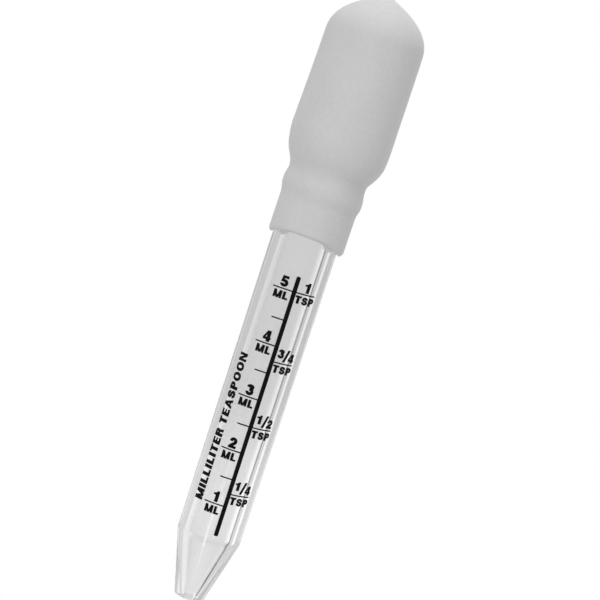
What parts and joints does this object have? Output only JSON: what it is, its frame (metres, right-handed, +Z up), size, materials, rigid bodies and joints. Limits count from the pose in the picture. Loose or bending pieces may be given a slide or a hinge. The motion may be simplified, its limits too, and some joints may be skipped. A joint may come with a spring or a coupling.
{
  "type": "medicine dropper",
  "caption": "Calibrated oral medicine dropper: thick clear tapered barrel with a conical tip, printed volume scale and a soft squeeze bulb that pulls off.",
  "frame": {"origin": "centre of the tip's end face, on the barrel's axis: the lowest point of the dropper when it is held upright", "axes": "+Z runs up the barrel's axis from the tip to the bulb's crown; the printed bar faces -Y; the squeezed walls of the bulb face -Y and +Y"},
  "size_m": [0.0236, 0.0236, 0.1446],
  "materials": {
    "clear_plastic": "clear and glossy",
    "soft_vinyl": "milky light grey with a matte skin",
    "scale_ink": "printed black ink"
  },
  "bodies": {
    "barrel": {"barrel": "clear_plastic", "scale_print": "scale_ink"},
    "bulb": {"bulb": "soft_vinyl"},
    "front_wall": {"bulb_front_wall": "soft_vinyl"},
    "back_wall": {"bulb_back_wall": "soft_vinyl"}
  },
  "joints": [
    {"name": "bulb_pull_off", "type": "slide", "parent": "barrel", "child": "bulb", "axis": [0, 0, 1], "range_m": [0, 0.03]},
    {"name": "squeeze_front", "type": "slide", "parent": "bulb", "child": "front_wall", "axis": [0, 1, 0], "range_m": [0, 0.007], "stiffness_N_per_m": 800},
    {"name": "squeeze_back", "type": "slide", "parent": "bulb", "child": "back_wall", "axis": [0, -1, 0], "range_m": [0, 0.007], "stiffness_N_per_m": 800}
  ],
  "couplings": [
    {"joint": "squeeze_back", "follows": "squeeze_front", "ratio": 1}
  ]
}
